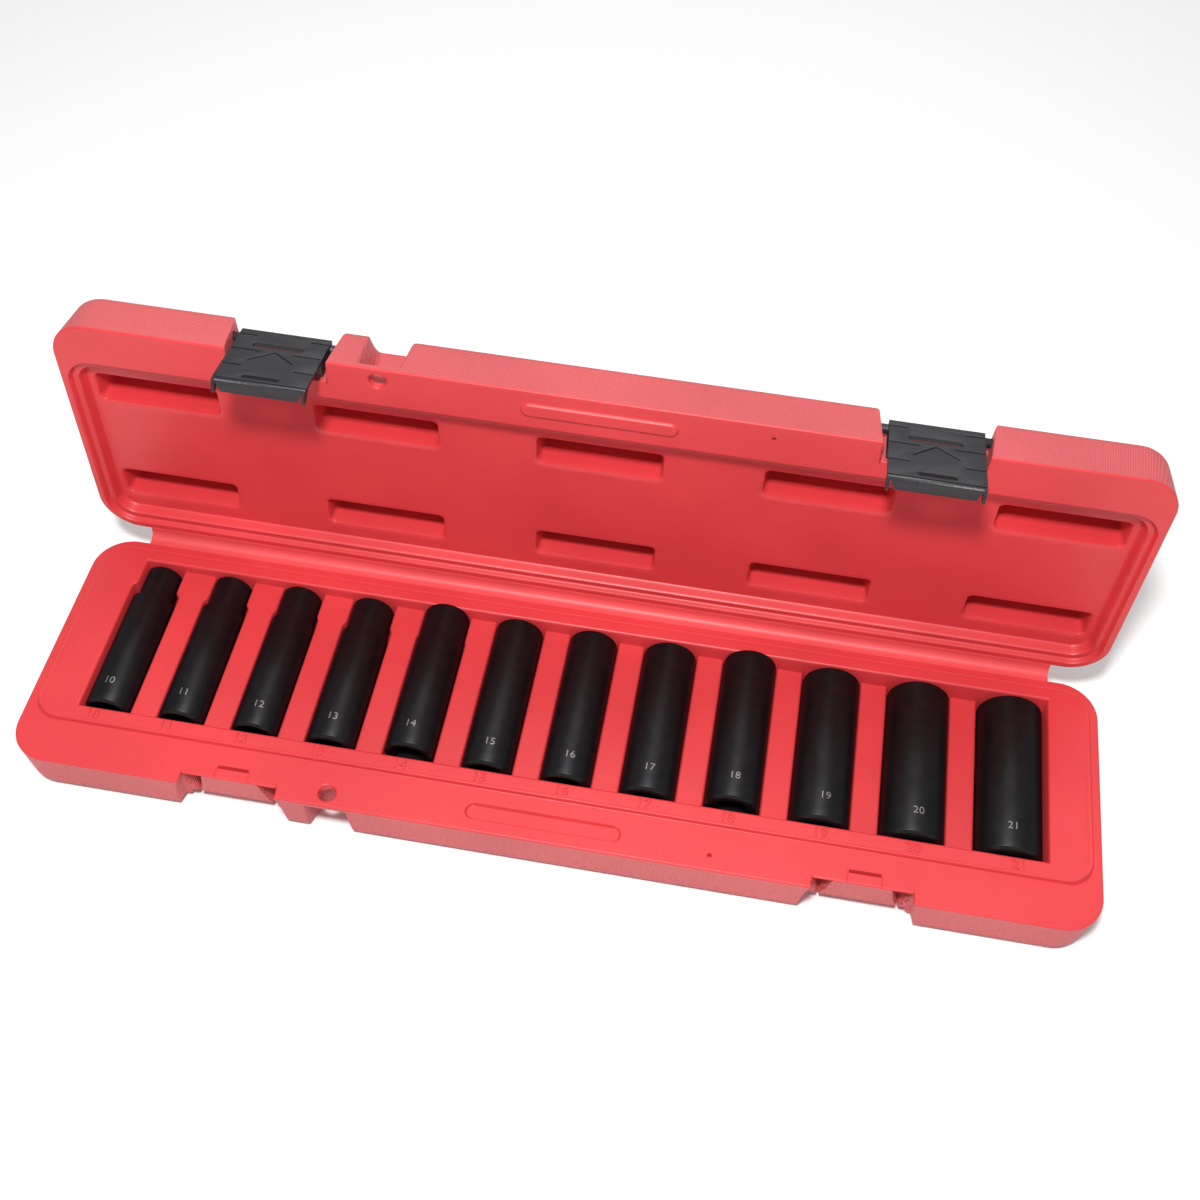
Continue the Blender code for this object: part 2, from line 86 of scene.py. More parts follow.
# Middle of each raised numeral along the rim
NUMERAL_X = {
    10: -204.6, 11: -171.0, 12: -137.3, 13: -103.0, 14: -66.0, 15: -30.9,
    16: 5.2, 17: 40.8, 18: 77.0, 19: 116.6, 20: 156.1, 21: 200.7,
}
NUMERAL_D = 25.1

LATCH_X = 136.5
PIN_SET_IN, PIN_DROP = 6.1, 14.8
PIN_RADIUS, PIN_REACH = 2.0, 23.6
PIN_HOLE_RADIUS, PIN_HOLE_REACH = 2.3, 24.3
LATCH_REST = math.radians(9.0)
PADLOCK_X, PADLOCK_D, PADLOCK_R = -93.3, 6.7, 3.8
NEEDLE_X, NEEDLE_D = 71.8, 7.1
BAR_PITCH, BAR_ROWS = 98.3, (99.6, 40.0)
BAR_HALF_LENGTH, BAR_HALF_WIDTH = 27.25, 7.4

# The plateau round the tray and the lid's step that closes over it: middle, half sizes, corner
PLATEAU = ((0.0, 70.15), (231.7, 49.15), 12.0)
LID_STEP = ((0.0, 70.15), (232.4, 49.85), 12.7)
STADIUM_D = 9.8

# Latch recesses and the catches between them
RECESS_HALF, RECESS_DEPTH, NOTCH_DEPTH = 21.25, 10.7, 5.0
CATCH_HEIGHT, CATCH_SLOPE, CATCH_BACK = 18.5, 2.5, 12.0
GUSSET_X = 16.9
SLIT_X = 0.6  # the slits behind the catches sit a little right of the latches' middle
VALLEY_DEPTH, FLANGE = 13.6, 2.6
RIM_ROUND = 0.9
WEB_BEND = 3.0  # half the length of web that bends
WEB_REACH, WEB_HALF_LENGTH = 5.4, 213.5


def pocket_middles():
    middles, left = {}, FIRST_WALL
    for size, (drive, _) in SOCKETS.items():
        width = drive + 2 * POCKET_GAP
        middles[size] = left + width / 2
        left += width + RIB_WIDTH
    return middles


POCKET_X = pocket_middles()


def lid_matrix():
    """From the lid's flat frame (x, distance from the hinge axis, z) to the row frame."""
    return Matrix.Translation(HINGE_WORLD) @ Matrix.Rotation(LID_ANGLE, 4, "X")


def ease(t):
    t = np.clip(t, 0.0, 1.0)
    return t * t * (3.0 - 2.0 * t)


def rounded_box(x, d, centre, half, radius):
    """Signed distance to a rounded rectangle, negative inside."""
    qx = np.abs(x - centre[0]) - (half[0] - radius)
    qd = np.abs(d - centre[1]) - (half[1] - radius)
    outside = np.hypot(np.maximum(qx, 0.0), np.maximum(qd, 0.0))
    return outside + np.minimum(np.maximum(qx, qd), 0.0) - radius


def graded(low, high, coarse, zones):
    """Grid lines from low to high, closer together in each zone (centre, half width, step)."""
    lines, at = [low], low
    while at < high:
        step = coarse
        for centre, half, fine in zones:
            step = min(step, fine + 0.3 * max(0.0, abs(at - centre) - half))
        at += step
        lines.append(at)
    lines = np.array(lines)
    return low + (lines - low) * (high - low) / (lines[-1] - low)


def new_object(name, verts, faces, scale=MM):
    mesh = bpy.data.meshes.new(name)
    mesh.from_pydata((np.asarray(verts, float) * scale).tolist(), [], faces)
    mesh.validate()
    obj = bpy.data.objects.new(name, mesh)
    bpy.context.scene.collection.objects.link(obj)
    return obj


def solid_of_rings(name, rings, scale=MM):
    """Closed solid through rings of equal point counts."""
    count = len(rings[0])
    verts = [point for ring in rings for point in ring]
    faces = [tuple(range(count))]
    for k in range(len(rings) - 1):
        for i in range(count):
            j = (i + 1) % count
            faces.append((k * count + i, (k + 1) * count + i, (k + 1) * count + j, k * count + j))
    top = (len(rings) - 1) * count
    faces.append(tuple(reversed(range(top, top + count))))
    obj = new_object(name, verts, faces, scale)
    bm = bmesh.new()
    bm.from_mesh(obj.data)
    bmesh.ops.recalc_face_normals(bm, faces=bm.faces)
    bm.to_mesh(obj.data)
    bm.free()
    return obj


def extruded(name, outline, axis, low, high):
    def place(point, along):
        pair = list(point)
        pair.insert("XYZ".index(axis), along)
        return tuple(pair)
    return solid_of_rings(name, [[place(p, along) for p in outline] for along in (low, high)])


def round_points(radius, centre=(0.0, 0.0), steps=32, start=0.0):
    turn = [start + 2 * math.pi * i / steps for i in range(steps)]
    return [(centre[0] + radius * math.cos(a), centre[1] + radius * math.sin(a)) for a in turn]


def stadium_points(length, width, centre, steps=10):
    points = []
    for end in (0, 1):
        for step in range(steps + 1):
            angle = math.pi * (end + step / steps - 0.5)
            x = (1 - 2 * end) * (length - width) / 2 + width / 2 * math.cos(angle)
            points.append((centre[0] + x, centre[1] + width / 2 * math.sin(angle)))
    return points


def polygon_rounded(corners, radius, steps=4):
    """Convex polygon with each corner rounded."""
    points, count = [], len(corners)
    for i in range(count):
        before, here, after = (Vector(corners[(i + k) % count]) for k in (-1, 0, 1))
        a, b = (before - here).normalized(), (after - here).normalized()
        half = a.angle(b) / 2
        reach = radius / math.tan(half)
        middle = here + (a + b).normalized() * radius / math.sin(half)
        start, end = here + a * reach - middle, here + b * reach - middle
        for step in range(steps + 1):
            arm = start.lerp(end, step / steps).normalized() * radius
            points.append(tuple(middle + arm))
    return points


def cut(obj, tools, operation="DIFFERENCE"):
    for tool in tools:
        modifier = obj.modifiers.new(tool.name, "BOOLEAN")
        modifier.operation = operation
        modifier.solver = "EXACT"
        modifier.object = tool


def bake(obj, tools=()):
    """Turns an object and its modifiers into one plain mesh and removes the tools."""
    graph = bpy.context.evaluated_depsgraph_get()
    made = bpy.data.meshes.new_from_object(obj.evaluated_get(graph))
    obj.modifiers.clear()
    obj.data = made
    for tool in tools:
        bpy.data.objects.remove(tool, do_unlink=True)
    return obj


def bevel(obj, width, segments=2, angle=30.0):
    modifier = obj.modifiers.new("edges", "BEVEL")
    modifier.width = width * MM
    modifier.segments = segments
    modifier.limit_method = "ANGLE"
    modifier.angle_limit = math.radians(angle)
    modifier.miter_outer = "MITER_ARC"


def smooth(obj, angle=40.0):
    obj.data.shade_smooth()
    obj.data.set_sharp_from_angle(angle=math.radians(angle))


# ---------------------------------------------------------------- case halves

def latch_depth(x, z, lid):
    """How far the front wall is set back at each latch."""
    depth = np.zeros_like(x)
    for side in (-1, 1):
        across = x - side * LATCH_X
        soft = (0.0 if lid else 1.6) * np.clip(-z / 12.0, 0.0, 1.0)
        mask = ease((RECESS_HALF + 0.5 + soft - np.abs(across)) / (1.0 + soft))
        if lid:
            depth = np.maximum(depth, RECESS_DEPTH * mask)
            continue
        down = np.clip(-z / CATCH_HEIGHT, 0.0, 1.0)
        face = NOTCH_DEPTH + CATCH_SLOPE * down
        width = 4.3 * (1.0 - down) + 0.1
        gusset = ease((width + 0.4 - np.abs(np.abs(across) - GUSSET_X)) / 0.8)
        gusset = gusset * ease((-z - 0.7) / 0.6)
        under = ease((-z - CATCH_HEIGHT + 0.3) / 0.7) * ease((19.6 - np.abs(across)) / 1.0)
        opened = np.maximum(gusset, under)
        depth = np.maximum(depth, mask * (face + opened * (CATCH_BACK - face)))
    return depth


def valley_depth(x, z, top):
    """Valley under the padlock flange."""
    reach = ease((9.6 - np.abs(x - PADLOCK_X)) / 5.6)
    return VALLEY_DEPTH * reach * ease((top - FLANGE - z) / 0.8)


def blended_max(a, b):
    """The larger of two depths, with the line where they meet rounded off."""
    width = 1.1 * np.clip(b / 2.0, 0.0, 1.0)
    return 0.5 * (a + b + np.sqrt((a - b)**2 + width**2))


def flare(x, amount, lid):
    """Sideways shift that opens the recesses and the valley towards the outer face."""
    shift = np.zeros_like(x)
    inner = 8.0 if lid else 17.2
    for side in (-1, 1):
        across = x - side * LATCH_X
        off = np.abs(across)
        share = ease((off - inner) / (20.6 - inner)) * ease((44.0 - off) / 20.0)
        shift = shift + np.sign(across) * share * amount
    across = x - PADLOCK_X
    off = np.abs(across)
    share = ease((off - 1.5) / 6.0) * ease((26.0 - off) / 15.0)
    return shift + np.sign(across) * share * amount * 0.8


def base_height(x, d):
    """Height of the base's upper surface above the parting plane."""
    plateau = rounded_box(x, d, *PLATEAU)
    z = 1.85 * ease((0.35 - plateau) / 0.7) + 0.15 * np.exp(-((plateau + 0.75) / 0.45) ** 2)
    z = z + 0.1 * ease((-1.2 - plateau) / 2.0)
    along = np.clip(d, TRAY_FRONT, TRAY_REAR)
    ribs = RIB_TOP + RIB_SLOPE * x
    floor = ribs.copy()
    left = np.full_like(x, FIRST_WALL)
    for size, (drive, nose) in SOCKETS.items():
        narrow = ease((along - SHOULDER) / SHOULDER_RUN)
        radius = (drive + (nose - drive) * narrow) / 2 + POCKET_GAP
        off = np.abs(x - POCKET_X[size])
        axis = SOCKET_PROUD - drive / 2
        bowl = axis - np.sqrt(np.maximum(radius**2 - off**2, 0.0))
        lip = np.clip(off - radius, 0, 1.1)
        rounded = ribs - 1.1 + np.sqrt(np.maximum(1.21 - (1.1 - lip)**2, 0))
        floor = np.where(off < radius, np.minimum(bowl, ribs - 1.1), np.minimum(floor, rounded))
        if size == 10:
            left = POCKET_X[size] - radius
    right = POCKET_X[21] + (SOCKETS[21][0] / 2 + POCKET_GAP)
    out = np.maximum.reduce([left - x, x - right, TRAY_FRONT - d, d - TRAY_REAR])
    lip = 1.3
    rounded = z - lip + np.sqrt(np.maximum(lip**2 - (lip - np.clip(out, 0, lip))**2, 0.0))
    return np.where(out > 0.0, np.where(out < lip, rounded, z), floor)


def base_front_band(x, d, z):
    """Shallow stadium, slots behind the catches, needle hole and the padlock eye's soft edge."""
    dish = rounded_box(x, d, (0.0, STADIUM_D), (33.3, 3.5), 3.49)
    z = z - 1.5 * ease((0.45 - dish) / 0.9)
    for side in (-1, 1):
        middle = side * LATCH_X + SLIT_X
        slit = rounded_box(x, d, (middle, 10.6), (6.8, 0.65), 0.6)
        z = z - 3.0 * ease((0.12 - slit) / 0.4)
        for end in (-1, 1):
            seam = np.abs(x - middle - end * 7.3)
            z = z - 0.32 * ease((0.42 - seam) / 0.34) * ((d < 10.6) & (d > 4.0))
    return eyes(x, d, z)


def eyes(x, d, z):
    ring = np.hypot(x - PADLOCK_X, d - PADLOCK_D) - PADLOCK_R
    soft = np.clip(ring, 0.0, 0.8)
    z = z - (0.8 - np.sqrt(np.maximum(0.64 - (0.8 - soft)**2, 0.0)))
    pin = np.hypot(x - NEEDLE_X, d - NEEDLE_D)
    return z - 2.5 * ease((0.95 - pin) / 0.35)


def lid_height(x, d):
    """Height of the lid's inner surface: a step, a ledge with a soft bead, the panel, ten bars."""
    step = rounded_box(x, d, *LID_STEP)
    z = -2.45 * ease((0.4 - step) / 1.2)
    ledge = 3.3  # how far inside the step the ledge's bead runs
    low_front = 1.0 - 0.85 * ease((31.0 - d) / 4.0)  # leaves room for the rim numerals
    bead = 0.35 * low_front * np.exp(-((step + ledge) / 0.5) ** 2)
    z = z + bead - 4.3 * ease((-ledge - step) / 2.2)
    z = z - 0.27 * ease((-ledge - step) / 14.0)
    for row in BAR_ROWS:
        for column in range(5):
            middle = ((column - 2) * BAR_PITCH, row)
            bar = rounded_box(x, d, middle, (BAR_HALF_LENGTH, BAR_HALF_WIDTH), 2.6)
            z = z - 14.6 * ease((0.5 - bar) / 2.4) - 0.35 * ease((2.6 - bar) / 2.6)
    return z


def lid_front_band(x, d, z):
    raised = rounded_box(x, d, (0.0, STADIUM_D), (32.7, 3.0), 2.99)
    z = z + 1.2 * ease((0.35 - raised) / 0.8)
    return eyes(x, d, z)


def outline_clearance(x, d, notch):
    """Distance inside the rim's outer edge, notches included."""
    edge = -rounded_box(x, d, (0.0, DEPTH / 2), (LENGTH / 2, DEPTH / 2), CORNER)
    for side in (-1, 1):
        across = np.maximum(np.abs(x - side * LATCH_X) - RECESS_HALF, 0.0)
        back = np.maximum(d - notch, 0.0)
        edge = np.minimum(edge, np.hypot(across, back))
    return edge


def side_limit(d):
    """Half the case's length at a depth, less at the round corners."""
    near = np.minimum(np.minimum(d, DEPTH - d), CORNER)
    arc = np.sqrt(np.maximum(CORNER**2 - (CORNER - near)**2, 0.0))
    return LENGTH / 2 - CORNER + arc


def zones_along(lid):
    """Where the grid is finer along the case: (middle, half width, step)."""
    zones = [(0.0, 0.0, 2.2)]
    for end in (-1, 1):
        zones += [(end * LENGTH / 2, 1.2, 0.22), (end * 229.0, 3.5, 0.45)]
        for edge in (-RECESS_HALF, RECESS_HALF):
            zones.append((end * LATCH_X + edge, 0.9, 0.2))
        if not lid:
            for edge in (-GUSSET_X, GUSSET_X):
                zones.append((end * LATCH_X + edge, 5.0, 0.42))
            for edge in (-7.3, -6.2, 6.2, 7.3):
                zones.append((end * LATCH_X + SLIT_X + edge, 0.8, 0.2))
    zones.append((PADLOCK_X, 12.0, 0.36))
    zones += [(NEEDLE_X, 1.2, 0.22), (-31.5, 2.5, 0.4), (31.5, 2.5, 0.4)]
    if lid:
        for column in range(5):
            for edge in (-BAR_HALF_LENGTH, BAR_HALF_LENGTH):
                zones.append(((column - 2) * BAR_PITCH + edge, 2.4, 0.34))
        return zones
    for size, (drive, nose) in SOCKETS.items():
        for end in (-1, 1):
            zones.append((POCKET_X[size] + end * (drive / 2 + 0.6), 1.3, 0.2))
            zones.append((POCKET_X[size] + end * (nose / 2 + 0.6), 1.0, 0.25))
    return zones


def zones_back(lid):
    """Where the grid is finer from front to back."""
    if not lid:
        return [(21.0, 0.8, 0.22), (TRAY_FRONT - 0.4, 1.1, 0.2), (TRAY_REAR + 0.4, 1.1, 0.2),
                (SHOULDER + 1.5, 2.0, 0.5), (119.3, 0.8, 0.22)]
    zones = [(20.0, 1.0, 0.25), (24.5, 2.0, 0.35), (120.0, 1.0, 0.25), (115.5, 2.0, 0.35)]
    for row in BAR_ROWS:
        for edge in (-BAR_HALF_WIDTH, BAR_HALF_WIDTH):
            zones.append((row + edge, 2.4, 0.32))
    return zones


def merged(*sets):
    """Grid lines of several sets in order, without those that nearly coincide."""
    lines = np.unique(np.round(np.concatenate(sets), 3))
    return lines[np.concatenate([[True], np.diff(lines) > 0.02])]


def half_lines(lid):
    """Grid lines along the case and from front to back."""
    corner = np.array([CORNER * (1 - math.cos(math.pi / 2 * i / 26)) for i in range(27)])
    front = graded(0.0, CORNER, 0.5, [(STADIUM_D, 3.9, 0.36), (PADLOCK_D, 4.3, 0.4)])
    middle = graded(CORNER, DEPTH - CORNER, 2.0, zones_back(lid))
    rear = graded(DEPTH - CORNER, DEPTH, 0.8, zones_back(lid))
    ds = np.unique(np.concatenate([merged(front, corner), middle[1:-1],
                                   merged(DEPTH - corner[::-1], rear)]))
    ds[0], ds[-1] = 0.0, DEPTH
    return graded(-LENGTH / 2, LENGTH / 2, 2.0, zones_along(lid)), ds


def upper_surface(lid, xs, ds):
    """Points (x, d, z) of a half's inner side, and the grid's own d before the recesses move it."""
    gx, gd = np.meshgrid(xs, ds, indexing="ij")
    start = LENGTH / 2 - CORNER - 6.0
    squeeze = (side_limit(gd) - start) / (LENGTH / 2 - start)
    outer = np.abs(gx) > start
    x = np.where(outer, np.sign(gx) * (start + (np.abs(gx) - start) * squeeze), gx)
    reach = 19.0 if lid else 17.0
    set_back = latch_depth(x, np.full_like(x, -0.3), lid)
    d = np.where(gd < reach, gd + set_back * (1.0 - gd / reach), gd)
    z = lid_height(x, d) if lid else base_height(x, d)
    z = lid_front_band(x, d, z) if lid else base_front_band(x, d, z)
    notch = RECESS_DEPTH if lid else NOTCH_DEPTH
    clear = np.clip(outline_clearance(x, d, notch), 0.0, RIM_ROUND)
    z = z - (RIM_ROUND - np.sqrt(np.maximum(RIM_ROUND**2 - (RIM_ROUND - clear)**2, 0.0)))
    return x, d, z, gd


def wall_levels(top, floor):
    """Heights of the rings of points that make the outer wall and its fillet."""
    levels = [top - down for down in (0.9, 1.3, 1.7, 2.2, 2.6, 2.8, 3.0, 3.2, 3.4,
                                      4.5, 7.0, 10.0, 13.0, 16.0)]
    levels += [-17.4, -18.2, -18.4, -18.6, -18.8, -19.0]
    for step in range(9):
        levels.append(floor + FILLET * (1 - math.sin(math.pi / 2 * step / 8)))
    return sorted({round(level, 3) for level in levels}, reverse=True)[1:]


def outer_rings(lid, top, x, d, grid_d):
    """Rings of points down the drafted outer wall, below the rim points (x, d)."""
    straight = LENGTH / 2 - CORNER
    past_x = np.maximum(np.abs(x) - straight, 0.0) * np.sign(x)
    past_d = np.where(grid_d < CORNER, grid_d - CORNER,
                      np.where(grid_d > DEPTH - CORNER, grid_d - DEPTH + CORNER, 0.0))
    size = np.maximum(np.hypot(past_x, past_d), 1e-9)
    out_x, out_d = past_x / size, past_d / size
    front = (grid_d == 0.0) & (np.abs(x) < straight + 0.01)
    floor = -LID_HEIGHT if lid else -BASE_HEIGHT
    rings = []
    for level in wall_levels(top, floor):
        low = max(0.0, floor + FILLET - level)
        curl = FILLET - math.sqrt(max(FILLET**2 - low**2, 0.0))
        inset = DRAFT * (top - RIM_ROUND - level) + curl
        z = np.full_like(x, level)
        ring_x = x - out_x * inset + flare(x, DRAFT * (top - level) + curl, lid) * front
        ring_d = np.where(front, inset, d - out_d * inset)
        recess = latch_depth(x, z, lid)
        recess = np.where(recess > 0.05, recess + curl * 0.7, 0.0)
        opened = blended_max(np.maximum(ring_d, recess), valley_depth(x, z, top))
        rings.append(np.stack([ring_x, np.where(front, opened, ring_d), z], 1))
    return rings


def moulded_half(name, lid):
    """One case half as a closed mesh: inner surface, drafted outer wall, filleted underside."""
    top = -PARTING_GAP if lid else 0.0
    x, d, z, grid_d = upper_surface(lid, *half_lines(lid))
    index = np.arange(x.size).reshape(x.shape)
    quads = np.stack([index[:-1, :-1], index[1:, :-1], index[1:, 1:], index[:-1, 1:]], -1)
    faces = quads.reshape(-1, 4)
    loop = np.concatenate([index[:, 0], index[-1, 1:], index[-2::-1, -1], index[0, -2:0:-1]])
    rings = outer_rings(lid, top, x.ravel()[loop], d.ravel()[loop], grid_d.ravel()[loop])
    walls, previous = [], loop
    for k in range(len(rings)):
        here = x.size + k * len(loop) + np.arange(len(loop))
        after, before = np.roll(here, -1), np.roll(previous, -1)
        walls.append(np.stack([previous, here, after, before], -1))
        previous = here
    walls = np.concatenate(walls)
    verts = np.concatenate([np.stack([x.ravel(), d.ravel(), (z + top).ravel()], 1), *rings])
    if lid:
        placed = np.stack([verts[:, 0], HINGE_AXIS - verts[:, 1], verts[:, 2]], 1)
        faces, walls, cap = faces[:, ::-1], walls[:, ::-1], previous
    else:
        placed = np.stack([verts[:, 0], verts[:, 1] - DEPTH / 2, verts[:, 2] + BASE_HEIGHT], 1)
        cap = previous[::-1]
    every = faces.tolist() + walls.tolist() + [cap.tolist()]
    mesh = bpy.data.meshes.new(name)
    mesh.from_pydata((placed * MM).tolist(), [], every)
    obj = bpy.data.objects.new(name, mesh)
    bpy.context.scene.collection.objects.link(obj)
    outside = np.zeros(len(every), np.int32)
    outside[len(faces):] = 1
    mesh.polygons.foreach_set("material_index", outside)
    return obj


def drill_eye(obj, lid):
    """Padlock hole through the flange."""
    d = HINGE_AXIS - PADLOCK_D if lid else PADLOCK_D - DEPTH / 2
    z = 0.0 if lid else BASE_HEIGHT
    tool = extruded("eye_tool", round_points(PADLOCK_R, (PADLOCK_X, d), 48), "Z", z - 9.0, z + 2.0)
    cut(obj, [tool])
    bake(obj, [tool])


def noise(nodes, links, place, scale, detail):
    """Noise texture on the object's own coordinates."""
    node = nodes.new("ShaderNodeTexNoise")
    node.inputs["Scale"].default_value = scale
    node.inputs["Detail"].default_value = detail
    links.new(place.outputs["Object"], node.inputs["Vector"])
    return node


def two_tone(nodes, links, factor, dark, light, low, high):
    """Colour ramp between two tones."""
    ramp = nodes.new("ShaderNodeValToRGB")
    for element, position, colour in zip(ramp.color_ramp.elements, (low, high), (dark, light)):
        element.position = position
        element.color = (*colour, 1.0)
    links.new(factor.outputs["Fac"], ramp.inputs["Fac"])
    return ramp


def gloss_range(nodes, links, factor, low, high):
    """Roughness between two values."""
    gloss = nodes.new("ShaderNodeMapRange")
    gloss.inputs["To Min"].default_value = low
    gloss.inputs["To Max"].default_value = high
    links.new(factor.outputs["Fac"], gloss.inputs["Value"])
    return gloss


def bump(nodes, links, height, strength, distance, under=None):
    """Bump from a height output, over another bump if one is given."""
    node = nodes.new("ShaderNodeBump")
    node.inputs["Strength"].default_value = strength
    node.inputs["Distance"].default_value = distance
    links.new(height, node.inputs["Height"])
    if under:
        links.new(under.outputs["Normal"], node.inputs["Normal"])
    return node


def diamond_weave(nodes, links, place, pitch=0.0014):
    """Diamond pattern of two crossed waves that climb round every upright wall."""
    split = nodes.new("ShaderNodeSeparateXYZ")
    links.new(place.outputs["Object"], split.inputs["Vector"])
    round_wall = nodes.new("ShaderNodeMath")
    round_wall.operation = "MULTIPLY_ADD"
    links.new(split.outputs["Y"], round_wall.inputs[0])
    round_wall.inputs[1].default_value = 0.85
    links.new(split.outputs["X"], round_wall.inputs[2])
    waves = []
    for operation in ("ADD", "SUBTRACT"):
        diagonal = nodes.new("ShaderNodeMath")
        diagonal.operation = operation
        links.new(round_wall.outputs["Value"], diagonal.inputs[0])
        links.new(split.outputs["Z"], diagonal.inputs[1])
        turn = nodes.new("ShaderNodeMath")
        turn.operation = "MULTIPLY"
        links.new(diagonal.outputs["Value"], turn.inputs[0])
        turn.inputs[1].default_value = 2.0 * math.pi / (pitch * math.sqrt(2.0))
        wave = nodes.new("ShaderNodeMath")
        wave.operation = "SINE"
        links.new(turn.outputs["Value"], wave.inputs[0])
        waves.append(wave)
    weave = nodes.new("ShaderNodeMath")
    weave.operation = "MULTIPLY"
    links.new(waves[0].outputs["Value"], weave.inputs[0])
    links.new(waves[1].outputs["Value"], weave.inputs[1])
    return weave


def plastic(name, colour, roughness, grain, hatch):
    """Moulded plastic: slow colour drift, fine grain and, outside, a cross-hatched mould texture."""
    material = bpy.data.materials.new(name)
    material.use_nodes = True
    nodes, links = material.node_tree.nodes, material.node_tree.links
    shader = nodes["Principled BSDF"]
    place = nodes.new("ShaderNodeTexCoord")
    drift = noise(nodes, links, place, 14.0, 4.0)
    dark = [c * 0.90 for c in colour]
    light = [min(1.0, c * 1.07 + 0.002) for c in colour]
    ramp = two_tone(nodes, links, drift, dark, light, 0.32, 0.70)
    links.new(ramp.outputs["Color"], shader.inputs["Base Color"])
    speckle = noise(nodes, links, place, 900.0, 3.0)
    gloss = gloss_range(nodes, links, speckle, roughness - 0.05, roughness + 0.07)
    links.new(gloss.outputs["Result"], shader.inputs["Roughness"])
    fine = bump(nodes, links, speckle.outputs["Fac"], grain, 0.0003)
    if hatch:
        weave = diamond_weave(nodes, links, place)
        last = bump(nodes, links, weave.outputs["Value"], hatch, 0.0005, fine)
    else:
        ripple = noise(nodes, links, place, 45.0, 1.0)
        last = bump(nodes, links, ripple.outputs["Fac"], 0.25, 0.001, fine)
    links.new(last.outputs["Normal"], shader.inputs["Normal"])
    shader.inputs["Specular IOR Level"].default_value = 0.42
    return material


def dark_steel(name, colour, roughness, grain):
    """Black phosphate finish: mottled, slightly oily, finely grained."""
    material = bpy.data.materials.new(name)
    material.use_nodes = True
    nodes, links = material.node_tree.nodes, material.node_tree.links
    shader = nodes["Principled BSDF"]
    shader.inputs["Metallic"].default_value = 0.85
    shader.inputs["Specular Tint"].default_value = (0.5, 0.5, 0.5, 1.0)
    place = nodes.new("ShaderNodeTexCoord")
    mottle = noise(nodes, links, place, 160.0, 6.0)
    dark, light = [c * 0.9 for c in colour], [c * 1.15 for c in colour]
    ramp = two_tone(nodes, links, mottle, dark, light, 0.35, 0.72)
    links.new(ramp.outputs["Color"], shader.inputs["Base Color"])
    gloss = gloss_range(nodes, links, mottle, roughness - 0.025, roughness + 0.035)
    links.new(gloss.outputs["Result"], shader.inputs["Roughness"])
    specks = noise(nodes, links, place, 2600.0, 2.0)
    fine = bump(nodes, links, specks.outputs["Fac"], grain, 0.0002)
    links.new(fine.outputs["Normal"], shader.inputs["Normal"])
    return material


class CaseLooks(bpy.types.PropertyGroup):
    """Colours of the moulding and its rim numerals"""
    red: FloatVectorProperty(
        name="Case red", description="Colour of the case plastic", subtype="COLOR",
        default=(0.63, 0.040, 0.047), min=0.0, max=1.0)
    # Painted sheen: the outer walls' paler colour stands in for the grazing reflection off their
    # textured faces.
    chalk: FloatProperty(
        name="PaintedSheen", description="How much paler the textured outer walls are",
        default=0.06, min=0.0, max=0.5, subtype="FACTOR")
    roughness: FloatProperty(
        name="Roughness", description="Roughness of the smooth inner surfaces", default=0.40,
        min=0.05, max=1.0, subtype="FACTOR")
    hatch: FloatProperty(
        name="Mould texture", description="Strength of the texture on the outer walls",
        default=0.5, min=0.0, max=1.0, subtype="FACTOR")
    numeral: FloatProperty(
        name="Numeral height", description="Rough height of the raised size numerals",
        default=0.0040, unit="LENGTH", subtype="DISTANCE")


class LatchLooks(bpy.types.PropertyGroup):
    """Sizes and colour of the latches"""
    black: FloatVectorProperty(
        name="Latch black", description="Colour of the latch plastic", subtype="COLOR",
        default=(0.020, 0.019, 0.022), min=0.0, max=1.0)
    width: FloatProperty(
        name="Width", description="Width of the latch plate", default=0.039,
        unit="LENGTH", subtype="DISTANCE")
    groove: FloatProperty(
        name="Groove", description="Width of the finger grooves", default=0.0008,
        unit="LENGTH", subtype="DISTANCE")


class SocketLooks(bpy.types.PropertyGroup):
    """Finish of the sockets"""
    black: FloatVectorProperty(
        name="Socket black", description="Colour of the phosphate finish", subtype="COLOR",
        default=(0.024, 0.0235, 0.025), min=0.0, max=1.0)
    segments: IntProperty(
        name="Segments", description="Steps round each socket", default=96, min=24, max=256)
    chamfer: FloatProperty(
        name="Chamfer", description="Chamfer round the drive end", default=0.0012,
        unit="LENGTH", subtype="DISTANCE")


class StageLooks(bpy.types.PropertyGroup):
    """Floor, lights and camera"""
    floor: FloatVectorProperty(
        name="Floor", description="Colour of the floor", subtype="COLOR",
        default=(0.90, 0.90, 0.90), min=0.0, max=1.0)
    key: FloatProperty(
        name="Key light", description="Power of the key light", default=10.0, unit="POWER")
    back: FloatProperty(
        name="Back light", description="Power of the soft light behind", default=6.0,
        unit="POWER")
    sky: FloatProperty(
        name="Surround", description="Brightness of the white surround", default=0.42, min=0.0)
    lens: FloatProperty(
        name="Lens", description="Focal length of the camera", default=45.5,
        subtype="DISTANCE_CAMERA", unit="CAMERA")


def case_materials():
    looks = bpy.context.scene.socket_case
    inner = bpy.data.materials.get("moulded_red_inside")
    if inner is None:
        red = tuple(looks.red)
        inner = plastic("moulded_red_inside", red, looks.roughness, 0.12, 0.0)
        # Painted sheen: green and blue are raised on the outer walls in place of their grazing
        # reflection.
        pale = (red[0] * 0.97, red[1] + looks.chalk, red[2] + looks.chalk)
        plastic("moulded_red_outside", pale, looks.roughness + 0.12, 0.2, looks.hatch)
    return inner, bpy.data.materials["moulded_red_outside"]


def finish_half(obj, body, node):
    for material in case_materials():
        obj.data.materials.append(material)
    smooth(obj, 42.0)
    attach(obj, body)
    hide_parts(node)


